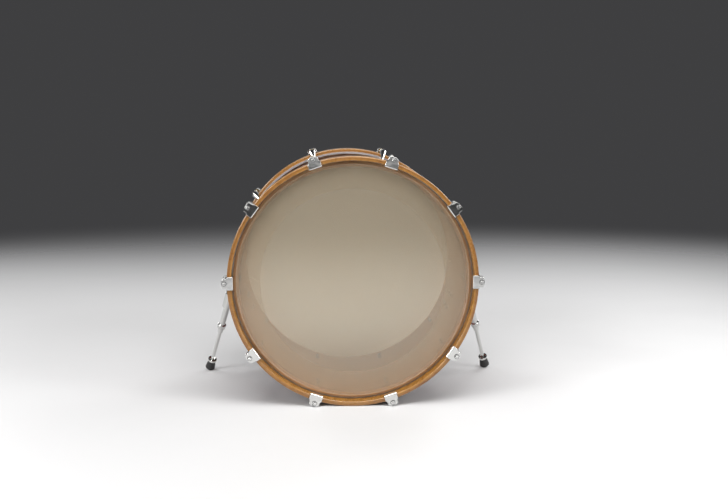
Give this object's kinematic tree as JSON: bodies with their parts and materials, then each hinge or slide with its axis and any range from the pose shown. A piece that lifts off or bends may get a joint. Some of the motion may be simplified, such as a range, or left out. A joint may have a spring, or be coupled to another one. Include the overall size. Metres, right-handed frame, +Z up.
{
  "type": "bass drum",
  "caption": "Bass drum with a red sparkle shell, two translucent heads, wooden hoops held by clawed tension rods, and folding telescopic spurs.",
  "frame": {"origin": "on the floor, under the middle of the drum", "axes": "+Z up; the drum's axis runs along Y, with the batter head facing -Y and the front head +Y; +X is to the right when facing the batter head, across the two spurs"},
  "size_m": [0.764, 0.486, 0.59],
  "materials": {
    "shell_ply": "satin",
    "sparkle_wrap": "gloss, metal flake",
    "badge_metal": "brushed, blank",
    "bright_chrome": "polished",
    "rod_chrome": "polished",
    "batter_film": "smoky translucent",
    "front_film": "smoky translucent",
    "muffle_film": "clear",
    "flesh_hoop_metal": "satin",
    "hoop_maple": "gloss amber lacquer",
    "black_rubber": "matt",
    "foot_rubber": "matt",
    "washer_nylon": "satin black nylon",
    "insert_brass": "satin",
    "screw_steel": "satin"
  },
  "bodies": {
    "drum": {"shell": "shell_ply", "shell_wrap": "sparkle_wrap", "badge_plate": "badge_metal", "vent_grommet": "bright_chrome", "batter_head_film": "batter_film", "batter_flesh_hoop": "flesh_hoop_metal", "batter_muffle_ring": "muffle_film", "front_head_film": "front_film", "front_flesh_hoop": "flesh_hoop_metal", "batter_hoop": "hoop_maple", "front_hoop": "hoop_maple", "batter_claws": "bright_chrome", "front_claws": "bright_chrome", "claw_pads": "black_rubber", "rod_washers": "washer_nylon", "batter_lugs": "bright_chrome", "front_lugs": "bright_chrome", "lug_gaskets": "black_rubber", "lug_inserts": "insert_brass", "lug_screws": "screw_steel", "lug_screw_washers": "screw_steel", "left_spur_bracket": "bright_chrome", "right_spur_bracket": "bright_chrome", "spur_gaskets": "black_rubber", "spur_bolts": "screw_steel"},
    "batter_rod_01": {"batter_rod_01": "rod_chrome"},
    "batter_rod_02": {"batter_rod_02": "rod_chrome"},
    "batter_rod_03": {"batter_rod_03": "rod_chrome"},
    "batter_rod_04": {"batter_rod_04": "rod_chrome"},
    "batter_rod_05": {"batter_rod_05": "rod_chrome"},
    "batter_rod_06": {"batter_rod_06": "rod_chrome"},
    "batter_rod_07": {"batter_rod_07": "rod_chrome"},
    "batter_rod_08": {"batter_rod_08": "rod_chrome"},
    "batter_rod_09": {"batter_rod_09": "rod_chrome"},
    "batter_rod_10": {"batter_rod_10": "rod_chrome"},
    "front_rod_01": {"front_rod_01": "rod_chrome"},
    "front_rod_02": {"front_rod_02": "rod_chrome"},
    "front_rod_03": {"front_rod_03": "rod_chrome"},
    "front_rod_04": {"front_rod_04": "rod_chrome"},
    "front_rod_05": {"front_rod_05": "rod_chrome"},
    "front_rod_06": {"front_rod_06": "rod_chrome"},
    "front_rod_07": {"front_rod_07": "rod_chrome"},
    "front_rod_08": {"front_rod_08": "rod_chrome"},
    "front_rod_09": {"front_rod_09": "rod_chrome"},
    "front_rod_10": {"front_rod_10": "rod_chrome"},
    "right_spur": {"right_spur_arm": "bright_chrome", "right_spur_tube": "bright_chrome"},
    "right_spur_leg": {"right_spur_rod": "bright_chrome", "right_spur_cup": "bright_chrome", "right_spur_foot": "foot_rubber"},
    "right_spur_collar": {"right_spur_collar": "bright_chrome"},
    "right_spur_key_bolt": {"right_spur_key_bolt": "bright_chrome"},
    "left_spur": {"left_spur_arm": "bright_chrome", "left_spur_tube": "bright_chrome"},
    "left_spur_leg": {"left_spur_rod": "bright_chrome", "left_spur_cup": "bright_chrome", "left_spur_foot": "foot_rubber"},
    "left_spur_collar": {"left_spur_collar": "bright_chrome"},
    "left_spur_key_bolt": {"left_spur_key_bolt": "bright_chrome"}
  },
  "joints": [
    {"name": "batter_rod_01_turn", "type": "hinge", "parent": "drum", "child": "batter_rod_01", "pos_m": [0.09308, 0, 0.58146], "axis": [0, -1, 0], "continuous": true},
    {"name": "batter_rod_02_turn", "type": "hinge", "parent": "drum", "child": "batter_rod_02", "pos_m": [0.24368, 0, 0.47204], "axis": [0, -1, 0], "continuous": true},
    {"name": "batter_rod_03_turn", "type": "hinge", "parent": "drum", "child": "batter_rod_03", "pos_m": [0.3012, 0, 0.295], "axis": [0, -1, 0], "continuous": true},
    {"name": "batter_rod_04_turn", "type": "hinge", "parent": "drum", "child": "batter_rod_04", "pos_m": [0.24368, 0, 0.11796], "axis": [0, -1, 0], "continuous": true},
    {"name": "batter_rod_05_turn", "type": "hinge", "parent": "drum", "child": "batter_rod_05", "pos_m": [0.09308, 0, 0.00854], "axis": [0, -1, 0], "continuous": true},
    {"name": "batter_rod_06_turn", "type": "hinge", "parent": "drum", "child": "batter_rod_06", "pos_m": [-0.09308, 0, 0.00854], "axis": [0, -1, 0], "continuous": true},
    {"name": "batter_rod_07_turn", "type": "hinge", "parent": "drum", "child": "batter_rod_07", "pos_m": [-0.24368, 0, 0.11796], "axis": [0, -1, 0], "continuous": true},
    {"name": "batter_rod_08_turn", "type": "hinge", "parent": "drum", "child": "batter_rod_08", "pos_m": [-0.3012, 0, 0.295], "axis": [0, -1, 0], "continuous": true},
    {"name": "batter_rod_09_turn", "type": "hinge", "parent": "drum", "child": "batter_rod_09", "pos_m": [-0.24368, 0, 0.47204], "axis": [0, -1, 0], "continuous": true},
    {"name": "batter_rod_10_turn", "type": "hinge", "parent": "drum", "child": "batter_rod_10", "pos_m": [-0.09308, 0, 0.58146], "axis": [0, -1, 0], "continuous": true},
    {"name": "front_rod_01_turn", "type": "hinge", "parent": "drum", "child": "front_rod_01", "pos_m": [0.09308, 0, 0.58146], "axis": [0, 1, 0], "continuous": true},
    {"name": "front_rod_02_turn", "type": "hinge", "parent": "drum", "child": "front_rod_02", "pos_m": [0.24368, 0, 0.47204], "axis": [0, 1, 0], "continuous": true},
    {"name": "front_rod_03_turn", "type": "hinge", "parent": "drum", "child": "front_rod_03", "pos_m": [0.3012, 0, 0.295], "axis": [0, 1, 0], "continuous": true},
    {"name": "front_rod_04_turn", "type": "hinge", "parent": "drum", "child": "front_rod_04", "pos_m": [0.24368, 0, 0.11796], "axis": [0, 1, 0], "continuous": true},
    {"name": "front_rod_05_turn", "type": "hinge", "parent": "drum", "child": "front_rod_05", "pos_m": [0.09308, 0, 0.00854], "axis": [0, 1, 0], "continuous": true},
    {"name": "front_rod_06_turn", "type": "hinge", "parent": "drum", "child": "front_rod_06", "pos_m": [-0.09308, 0, 0.00854], "axis": [0, 1, 0], "continuous": true},
    {"name": "front_rod_07_turn", "type": "hinge", "parent": "drum", "child": "front_rod_07", "pos_m": [-0.24368, 0, 0.11796], "axis": [0, 1, 0], "continuous": true},
    {"name": "front_rod_08_turn", "type": "hinge", "parent": "drum", "child": "front_rod_08", "pos_m": [-0.3012, 0, 0.295], "axis": [0, 1, 0], "continuous": true},
    {"name": "front_rod_09_turn", "type": "hinge", "parent": "drum", "child": "front_rod_09", "pos_m": [-0.24368, 0, 0.47204], "axis": [0, 1, 0], "continuous": true},
    {"name": "front_rod_10_turn", "type": "hinge", "parent": "drum", "child": "front_rod_10", "pos_m": [-0.09308, 0, 0.58146], "axis": [0, 1, 0], "continuous": true},
    {"name": "right_spur_fold", "type": "hinge", "parent": "drum", "child": "right_spur", "pos_m": [0.26355, 0.0429, 0.20528], "axis": [-0.9457, 0.265, 0.188], "range_deg": [0, 126.82]},
    {"name": "right_spur_extend", "type": "slide", "parent": "right_spur", "child": "right_spur_leg", "axis": [0.2503, 0.487, -0.8368], "range_m": [-0.045, 0.04]},
    {"name": "right_spur_collar_turn", "type": "hinge", "parent": "right_spur", "child": "right_spur_collar", "pos_m": [0.30947, 0.04902, 0.20959], "axis": [0.2503, 0.487, -0.8368], "continuous": true},
    {"name": "right_spur_key_bolt_turn", "type": "hinge", "parent": "drum", "child": "right_spur_key_bolt", "pos_m": [0.26355, 0.0429, 0.20528], "axis": [0.9457, -0.265, -0.188], "continuous": true},
    {"name": "left_spur_fold", "type": "hinge", "parent": "drum", "child": "left_spur", "pos_m": [-0.26355, 0.0429, 0.20528], "axis": [-0.9457, -0.265, -0.188], "range_deg": [0, 126.82]},
    {"name": "left_spur_extend", "type": "slide", "parent": "left_spur", "child": "left_spur_leg", "axis": [-0.2503, 0.487, -0.8368], "range_m": [-0.045, 0.04]},
    {"name": "left_spur_collar_turn", "type": "hinge", "parent": "left_spur", "child": "left_spur_collar", "pos_m": [-0.30947, 0.04902, 0.20959], "axis": [0.2503, -0.487, 0.8368], "continuous": true},
    {"name": "left_spur_key_bolt_turn", "type": "hinge", "parent": "drum", "child": "left_spur_key_bolt", "pos_m": [-0.26355, 0.0429, 0.20528], "axis": [0.9457, 0.265, 0.188], "continuous": true}
  ]
}
